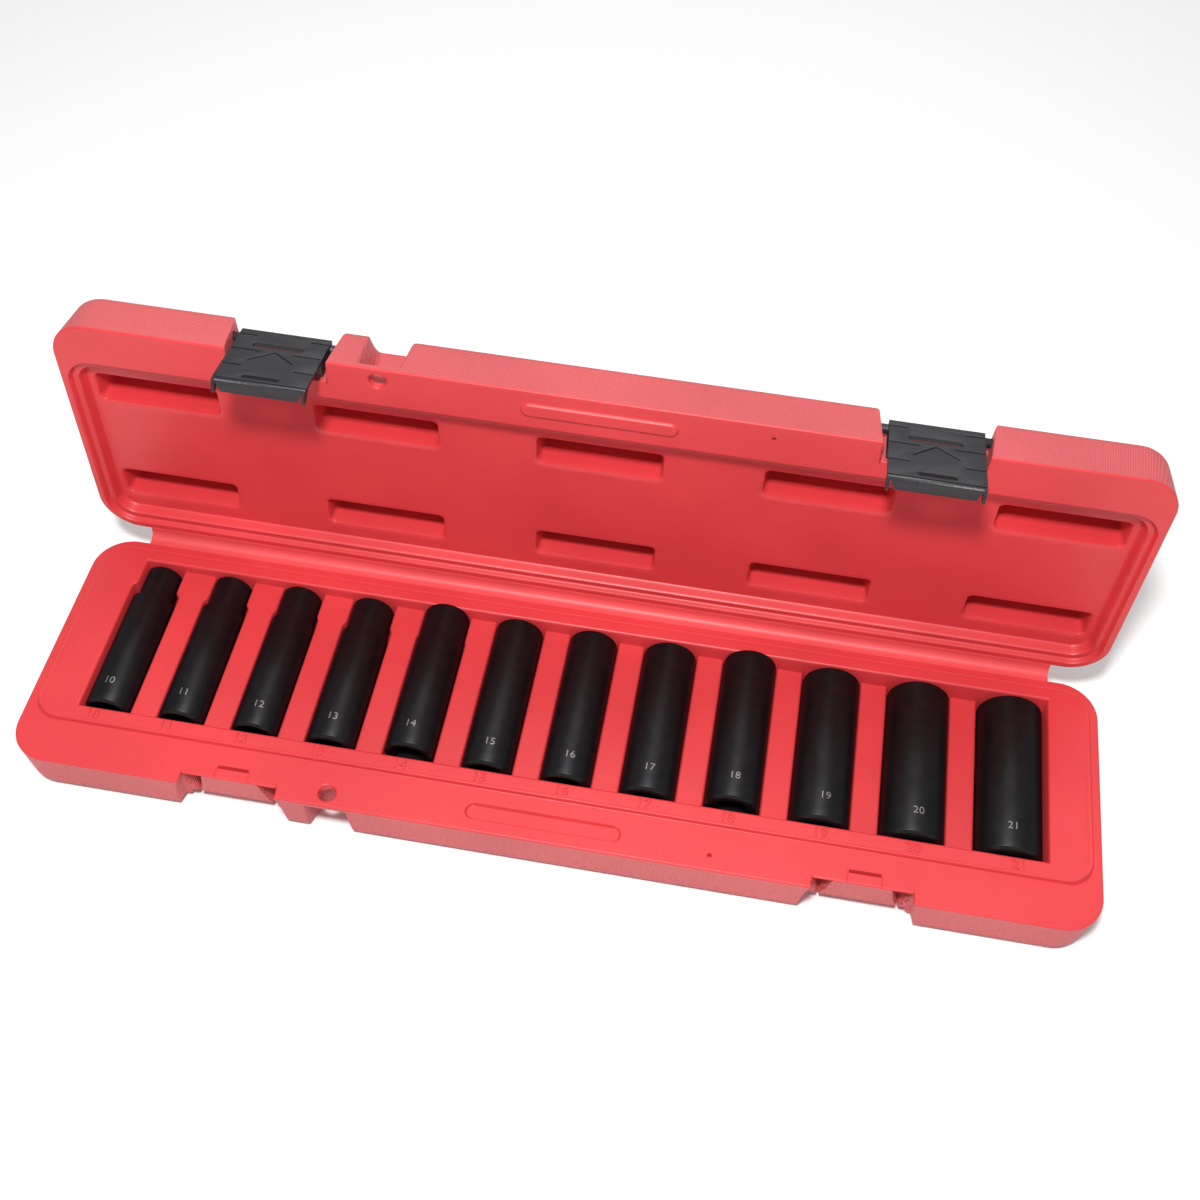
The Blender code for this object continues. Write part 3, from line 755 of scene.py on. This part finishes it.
class SOCKETSET_OT_case_base(bpy.types.Operator):
    """Build the case's base with its socket tray, catches and raised numerals"""
    bl_idname = "socketset.case_base"
    bl_label = "Case base"

    def execute(self, context):
        base = moulded_half("base_moulding", False)
        drill_eye(base, False)
        finish_half(base, "base", "case_base")
        for size, x in NUMERAL_X.items():
            self.numeral(context, size, x)
        return {"FINISHED"}

    def numeral(self, context, size, x):
        """Raised figures on the plateau in front of each pocket."""
        curve = bpy.data.curves.new(f"figure_{size}", "FONT")
        curve.body = str(size)
        curve.align_x = "CENTER"
        curve.align_y = "CENTER"
        curve.size = context.scene.socket_case.numeral * 1.5
        curve.extrude = 0.27 * MM
        curve.bevel_depth = 0.26 * MM
        curve.bevel_resolution = 3
        curve.offset = -0.10 * MM
        curve.space_character = 1.12
        text = bpy.data.objects.new(f"figure_{size}", curve)
        context.scene.collection.objects.link(text)
        text.location = Vector((x, NUMERAL_D - DEPTH / 2, BASE_HEIGHT + 2.0)) * MM
        context.view_layer.update()
        graph = context.evaluated_depsgraph_get()
        mesh = bpy.data.meshes.new_from_object(text.evaluated_get(graph))
        raised = bpy.data.objects.new(f"raised_{size}", mesh)
        raised.matrix_world = text.matrix_world
        context.scene.collection.objects.link(raised)
        bpy.data.objects.remove(text, do_unlink=True)
        mesh.materials.clear()
        mesh.materials.append(case_materials()[0])
        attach(raised, "base")


class SOCKETSET_OT_case_lid(bpy.types.Operator):
    """Build the case's lid with its stepped recess and kiss-off bars"""
    bl_idname = "socketset.case_lid"
    bl_label = "Case lid"

    def execute(self, context):
        lid = moulded_half("lid_moulding", True)
        drill_eye(lid, True)
        tools = []
        spot = (HINGE_AXIS - PIN_SET_IN, -PIN_DROP)
        for side in (-1, 1):
            x = side * LATCH_X
            hole = round_points(PIN_HOLE_RADIUS, spot, 24)
            tools.append(extruded(f"pin_tool_{side}", hole, "X", x - PIN_HOLE_REACH,
                                  x + PIN_HOLE_REACH))
        cut(lid, tools)
        bake(lid, tools)
        lid.matrix_world = lid_matrix()
        finish_half(lid, "lid", "case_lid")
        return {"FINISHED"}


class SOCKETSET_OT_web_hinge(bpy.types.Operator):
    """Build the thin web that folds between the two halves"""
    bl_idname = "socketset.web_hinge"
    bl_label = "Web hinge"

    def execute(self, context):
        obj = self.strip()
        obj.data.materials.append(self.bent_plastic(context))
        smooth(obj, 50.0)
        context.view_layer.update()
        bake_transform(obj)
        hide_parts("hinge_leaf_base", "hinge_leaf_lid")
        return {"FINISHED"}

    def bent_plastic(self, context):
        """The web's plastic is a little paler than the walls: a painted highlight for the light
        catching its bend.
        """
        looks = context.scene.socket_case
        # Painted highlight: the whole web is coloured paler instead of lit brighter.
        paler = tuple(c * 1.1 + 0.03 for c in looks.red)
        return plastic("web_red", paler, looks.roughness + 0.04, 0.1, 0.0)

    def tangent(self):
        """Distance from the crease at which the bend starts."""
        return 2.0 * WEB_BEND / LID_ANGLE * math.tan(LID_ANGLE / 2.0)

    def strip(self):
        """The web leaves the base's rim level, bends in one arc and runs up to the lid's rim."""
        reach = WEB_REACH - self.tangent() + WEB_BEND
        zones = [(end * WEB_HALF_LENGTH, 3.0, 0.4) for end in (-1, 1)]
        xs = graded(-WEB_HALF_LENGTH, WEB_HALF_LENGTH, 6.0, zones)
        section = [(s, 1.2 - 0.45 * math.exp(-(s / 1.2) ** 2))
                   for s in np.linspace(-reach, reach, 49)]
        verts, faces = [], []
        for x in xs:
            for s, thick in section:
                for z in (0.0, -thick):
                    verts.append(self.fold(x, s + reach, z, reach))
        rows, cols = len(xs), len(section) * 2
        ring = list(range(0, cols, 2)) + list(range(cols - 1, 0, -2))
        for r in range(rows - 1):
            for k in range(len(ring)):
                a, b = ring[k], ring[(k + 1) % len(ring)]
                faces.append((r * cols + a, (r + 1) * cols + a, (r + 1) * cols + b, r * cols + b))
        faces.append(tuple(ring))
        faces.append(tuple((rows - 1) * cols + i for i in reversed(ring)))
        return new_object("folding_web", verts, faces)

    def fold(self, x, along, z, reach):
        """Point at a distance along the web from the base's end, bent to the lid's rest angle."""
        bend = min(max(along - reach + WEB_BEND, 0.0), 2.0 * WEB_BEND)
        turn = LID_ANGLE * bend / (2.0 * WEB_BEND)
        radius = 2.0 * WEB_BEND / LID_ANGLE
        before = min(along, reach - WEB_BEND)
        after = max(along - reach - WEB_BEND, 0.0)
        y = before + radius * math.sin(turn) + after * math.cos(turn) - math.sin(turn) * z
        h = radius * (1.0 - math.cos(turn)) + after * math.sin(turn) + math.cos(turn) * z
        base = HINGE_WORLD / MM
        return (x, base[1] - WEB_REACH + y, base[2] + h)


class SOCKETSET_OT_latches(bpy.types.Operator):
    """Build both latches with their slots, grooves, skirts, pins and hooked lips"""
    bl_idname = "socketset.latches"
    bl_label = "Latches"

    def execute(self, context):
        looks = context.scene.socket_latch
        black = plastic("latch_black", tuple(looks.black), 0.42, 0.35, 0.0)
        for name, side in (("latch_left", -1), ("latch_right", 1)):
            obj = self.latch(looks, name + "_moulding")
            obj.data.materials.append(black)
            smooth(obj, 35.0)
            spot = Vector((side * LATCH_X, HINGE_AXIS - PIN_SET_IN, -PIN_DROP)) * MM
            rest = Matrix.Rotation(-LATCH_REST, 4, "X")
            obj.matrix_world = lid_matrix() @ Matrix.Translation(spot) @ rest
            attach(obj, name)
            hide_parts(name)
        return {"FINISHED"}

    def latch(self, looks, name):
        """In its pin's frame: Y out of the lid's front, Z from the lid's top to the base."""
        half, face, top, bend = looks.width / MM / 2, 3.2, -2.2, 36.5
        hook = [(face, top), (face, bend - 0.9), (face - 0.9, bend), (face - 6.0, bend + 0.2),
                (face - 6.0, bend - 1.4), (face - 2.6, bend - 1.8), (face - 1.8, bend - 2.6),
                (face - 1.8, top)]
        plate = extruded(name, hook, "X", -half, half)
        joins, cuts = [], []
        for end in (-1, 1):
            skirt = [(face - 0.9, top), (-1.6, top + 0.3), (-2.2, 0.0), (-2.1, 2.0),
                     (face - 5.4, 8.0), (face - 7.0, 12.0), (face - 6.6, 14.0), (face - 0.9, 14.0)]
            low, high = sorted((end * half, end * (half - 2.2)))
            joins.append(extruded(f"skirt_{end}", skirt, "X", low, high))
            low, high = sorted((end * (half - 1.1), end * PIN_REACH))
            pin = round_points(PIN_RADIUS, steps=24)
            joins.append(extruded(f"pin_{end}", pin, "X", low, high))
            gusset = [(face - 1.0, bend - 6.5), (face - 5.8, bend - 0.6), (face - 6.0, bend + 1.5),
                      (face - 0.4, bend + 0.2)]
            low, high = sorted((end * half, end * (half - 1.3)))
            joins.append(extruded(f"gusset_{end}", gusset, "X", low, high))
            scoop = [(end * (half - 1.3), -9.0), (end * (half - 1.3), face - 1.4),
                     (end * (half - 6.2), -9.0)]
            if end > 0:
                scoop.reverse()
            cuts.append(extruded(f"scoop_{end}", scoop, "Z", bend - 3.0, bend + 3.0))
        cut(plate, joins, "UNION")
        slots = ((-0.5, 10.8, 21.9, 3.0), (-0.2, 34.4, 15.9, 2.4))
        for number, (x, down, length, wide) in enumerate(slots):
            outline = stadium_points(length, wide, (x, top + down), 8)
            cuts.append(extruded(f"slot_{number}", outline, "Y", -1.5, face + 2.0))
        cuts += self.grooves(looks, half, face, top)
        cut(plate, cuts)
        bake(plate, joins + cuts)
        bevel(plate, 0.22, 2, 35.0)
        return bake(plate)

    def grooves(self, looks, half, face, top):
        """Pairs of short finger grooves, one across the bend, and a roof-shaped arrow."""
        width, depth = looks.groove / MM, 0.7
        tools, wide = [], 2 * half
        lines = []
        for t, share in ((0.10, 0.20), (0.39, 0.33), (0.69, 0.22)):
            z = top + 38.7 * t
            lines.append(((-half - 1, z), (-half + wide * share, z)))
            lines.append(((half - wide * share, z), (half + 1, z)))
        lines.append(((-half - 1, top + 37.2), (half + 1, top + 37.2)))
        apex = ((0.49 - 0.5) * wide, top + 38.7 * 0.384)
        lines.append((apex, ((0.25 - 0.5) * wide, top + 38.7 * 0.58)))
        lines.append((apex, ((0.73 - 0.5) * wide, top + 38.7 * 0.56)))
        for number, (a, b) in enumerate(lines):
            a, b = Vector(a), Vector(b)
            side = (b - a).normalized()
            side = Vector((-side.y, side.x)) * width / 2
            outline = [tuple(a + side), tuple(a - side), tuple(b - side), tuple(b + side)]
            tools.append(extruded(f"groove_{number}", outline, "Y", face - depth, face + 1.0))
        return tools


class SOCKETSET_OT_sockets(bpy.types.Operator):
    """Build the twelve sockets with their drive squares, hexagons and size marks"""
    bl_idname = "socketset.sockets"
    bl_label = "Sockets"

    def execute(self, context):
        looks = context.scene.socket_steel
        colour = tuple(looks.black)
        skin = dark_steel("socket_black", colour, 0.40, 0.15)
        # Edge material: the lighter colour is partly real wear on the chamfers and partly a painted
        # glint.
        edge = dark_steel("socket_worn_edge_and_glint", tuple(c * 1.4 for c in colour), 0.24, 0.1)
        mark = dark_steel("socket_mark", (0.30, 0.30, 0.31), 0.5, 0.1)
        for size in SOCKETS:
            obj = self.socket(looks, size)
            for material in (skin, edge):
                obj.data.materials.append(material)
            self.rub_edges(obj)
            smooth(obj, 32.0)
            place = self.place(size)
            obj.matrix_world = Matrix.Translation(place * MM)
            node = f"socket_{size}mm"
            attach(obj, node)
            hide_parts(node)
            self.mark(context, size, place, mark)
        return {"FINISHED"}

    def place(self, size):
        d = SOCKET_FRONT + SET_BACK.get(size, 0.0) + SOCKET_LENGTH / 2
        z = BASE_HEIGHT + SOCKET_PROUD - SOCKETS[size][0] / 2
        return Vector((POCKET_X[size], d - DEPTH / 2, z))

    def socket(self, looks, size):
        drive, nose = (value / 2 for value in SOCKETS[size])
        end, chamfer = SOCKET_LENGTH / 2, looks.chamfer / MM
        shape = [(-end, drive - chamfer), (-end + 0.12, drive - chamfer + 0.22),
                 (-end + chamfer - 0.2, drive - 0.12), (-end + chamfer, drive)]
        if nose < drive:
            shape += [(end - 17.5, drive), (end - 17.35, drive - 0.06), (end - 16.8, nose + 0.06),
                      (end - 16.6, nose)]
        shape += [(end - 0.9, nose), (end - 0.5, nose - 0.10), (end - 0.12, nose - 0.45),
                  (end, nose - 0.7)]
        rings = [[(x, y, z) for x, z in round_points(r, steps=looks.segments)] for y, r in shape]
        obj = solid_of_rings(f"socket_{size}", rings)
        side = DRIVE_HALF
        square = polygon_rounded([(-side, -side), (side, -side), (side, side), (-side, side)], 0.7)
        corner = size / math.sqrt(3)
        points = [(corner * math.cos(math.pi / 3 * i), corner * math.sin(math.pi / 3 * i))
                  for i in range(6)]
        hexagon = polygon_rounded(points, 0.5, 3)
        bore = round_points(min(0.85 * size, 12.0) / 2, steps=40)
        tools = [
            extruded("square_tool", square, "Y", -end - 1.0, -end + DRIVE_DEPTH),
            extruded("hexagon_tool", hexagon, "Y", end - HEXAGON_DEPTH, end + 1.0),
            extruded("bore_tool", bore, "Y", -end + DRIVE_DEPTH - 1.0, end - HEXAGON_DEPTH + 1.0),
            self.cone("square_lead", -end, 1, 8.35, 0.8),
            self.cone("hexagon_lead", end, -1, corner - 0.1, 0.7),
        ]
        cut(obj, tools)
        return bake(obj, tools)

    def cone(self, name, y, inward, radius, deep):
        spots = ((y - inward * 0.5, radius + 0.5), (y, radius), (y + inward * deep, radius - deep))
        rings = [[(x, yy, z) for x, z in round_points(r, steps=64)] for yy, r in spots]
        return solid_of_rings(name, rings)

    def rub_edges(self, obj):
        """The chamfers and lead-ins show bare, rubbed metal, and their lighter colour is partly a
        painted glint.
        """
        end = SOCKET_LENGTH / 2 * MM
        for face in obj.data.polygons:
            y, tilt = face.center.y, abs(face.normal.y)
            sloped = 0.25 < tilt < 0.93
            if sloped and (y < -end + 1.0 * MM or y > end - 0.7 * MM):
                face.material_index = 1

    def mark(self, context, size, place, material):
        """Size number etched across the top of the socket, wrapped on to it."""
        curve = bpy.data.curves.new(f"etch_{size}", "FONT")
        curve.body = str(size)
        curve.align_x = "CENTER"
        curve.align_y = "CENTER"
        curve.size = MARK_SIZE * MM
        curve.space_character = 1.05
        text = bpy.data.objects.new(f"etch_{size}", curve)
        context.scene.collection.objects.link(text)
        context.view_layer.update()
        graph = context.evaluated_depsgraph_get()
        mesh = bpy.data.meshes.new_from_object(text.evaluated_get(graph))
        bpy.data.objects.remove(text, do_unlink=True)
        bm = bmesh.new()
        bm.from_mesh(mesh)
        bmesh.ops.triangulate(bm, faces=bm.faces)
        bmesh.ops.subdivide_edges(bm, edges=bm.edges, cuts=2)
        radius = SOCKETS[size][0] / 2 * MM + 0.00003
        turn = math.radians(4.0 * math.sin(1.7 * size))
        for vert in bm.verts:
            angle = vert.co.x / radius + turn
            along = vert.co.y
            vert.co = (radius * math.sin(angle), along - MARK_SET_BACK * MM, radius * math.cos(angle))
        bm.to_mesh(mesh)
        bm.free()
        mesh.materials.clear()
        mesh.materials.append(material)
        etched = bpy.data.objects.new(f"size_mark_{size}", mesh)
        context.scene.collection.objects.link(etched)
        etched.matrix_world = Matrix.Translation(place * MM)
        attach(etched, f"socket_{size}mm")


class SOCKETSET_OT_stage(bpy.types.Operator):
    """Set the floor, soft lights and camera"""
    bl_idname = "socketset.stage"
    bl_label = "Stage"

    def execute(self, context):
        looks = context.scene.socket_stage
        scene = context.scene
        floor = new_object("floor", [(-4, -4, 0), (4, -4, 0), (4, 4, 0), (-4, 4, 0)],
                           [(0, 1, 2, 3)], 1.0)
        paper = bpy.data.materials.new("floor_paper")
        paper.use_nodes = True
        shader = paper.node_tree.nodes["Principled BSDF"]
        shader.inputs["Base Color"].default_value = (*looks.floor, 1.0)
        shader.inputs["Roughness"].default_value = 0.9
        floor.data.materials.append(paper)
        world = bpy.data.worlds.new("surround")
        world.use_nodes = True
        sky = world.node_tree.nodes["Background"]
        sky.inputs["Color"].default_value = (1.0, 1.0, 1.0, 1.0)
        sky.inputs["Strength"].default_value = looks.sky
        scene.world = world
        self.lamp("key", (-0.01, -0.36, 0.95), (0.0, 0.02, 0.03), 0.12, looks.key)
        self.lamp("back", (0.0, 0.9, 1.2), (0.0, 0.2, 0.0), 1.2, looks.back)
        camera = bpy.data.objects.new("camera", bpy.data.cameras.new("camera"))
        scene.collection.objects.link(camera)
        camera.data.lens = looks.lens
        camera.data.sensor_width = 36.0
        camera.matrix_world = self.camera_matrix()
        camera.data.clip_start, camera.data.clip_end = 0.01, 50.0
        scene.camera = camera
        scene.view_settings.view_transform = "Standard"
        return {"FINISHED"}

    def lamp(self, name, spot, aim, size, power):
        light = bpy.data.lights.new(name, "AREA")
        light.energy = power
        light.shape = "DISK"
        light.size = size
        obj = bpy.data.objects.new(name, light)
        bpy.context.scene.collection.objects.link(obj)
        obj.location = spot
        obj.rotation_euler = (Vector(aim) - Vector(spot)).to_track_quat("-Z", "Y").to_euler()

    def camera_matrix(self):
        spot = Vector((0.05957, -0.35680, 0.59797))
        forward = Vector((-0.0773, 0.5950, -0.8000)).normalized()
        right = forward.cross(Vector((0.0, 0.0, 1.0))).normalized()
        up = right.cross(forward)
        roll = math.radians(2.77)
        across = right * math.cos(roll) + up * math.sin(roll)
        over = up * math.cos(roll) - right * math.sin(roll)
        turn = Matrix((across, over, -forward)).transposed().to_4x4()
        return Matrix.Translation(spot) @ turn


class SOCKETSET_PT_panel(bpy.types.Panel):
    bl_idname = "SOCKETSET_PT_panel"
    bl_label = "Socket set"
    bl_space_type = "VIEW_3D"
    bl_region_type = "UI"
    bl_category = "Socket set"

    def draw(self, context):
        groups = (
            ("socket_case", ("red", "chalk", "roughness", "hatch", "numeral"),
             ("socketset.case_base", "socketset.case_lid", "socketset.web_hinge")),
            ("socket_latch", ("black", "width", "groove"), ("socketset.latches",)),
            ("socket_steel", ("black", "segments", "chamfer"), ("socketset.sockets",)),
            ("socket_stage", ("floor", "key", "back", "sky", "lens"), ("socketset.stage",)),
        )
        for group, fields, operators in groups:
            box = self.layout.box()
            for field in fields:
                box.prop(getattr(context.scene, group), field)
            for operator in operators:
                box.operator(operator)


CLASSES = (
    CaseLooks, LatchLooks, SocketLooks, StageLooks,
    SOCKETSET_OT_case_base, SOCKETSET_OT_case_lid, SOCKETSET_OT_web_hinge,
    SOCKETSET_OT_latches, SOCKETSET_OT_sockets, SOCKETSET_OT_stage, SOCKETSET_PT_panel,
)


def register():
    for cls in CLASSES:
        bpy.utils.register_class(cls)
    bpy.types.Scene.socket_case = PointerProperty(type=CaseLooks)
    bpy.types.Scene.socket_latch = PointerProperty(type=LatchLooks)
    bpy.types.Scene.socket_steel = PointerProperty(type=SocketLooks)
    bpy.types.Scene.socket_stage = PointerProperty(type=StageLooks)


def unregister():
    for name in ("socket_case", "socket_latch", "socket_steel", "socket_stage"):
        delattr(bpy.types.Scene, name)
    for cls in reversed(CLASSES):
        bpy.utils.unregister_class(cls)


def main():
    register()
    bpy.ops.socketset.case_base()
    bpy.ops.socketset.case_lid()
    bpy.ops.socketset.web_hinge()
    bpy.ops.socketset.latches()
    bpy.ops.socketset.sockets()
    bpy.ops.socketset.stage()


if __name__ == "__main__":
    main()
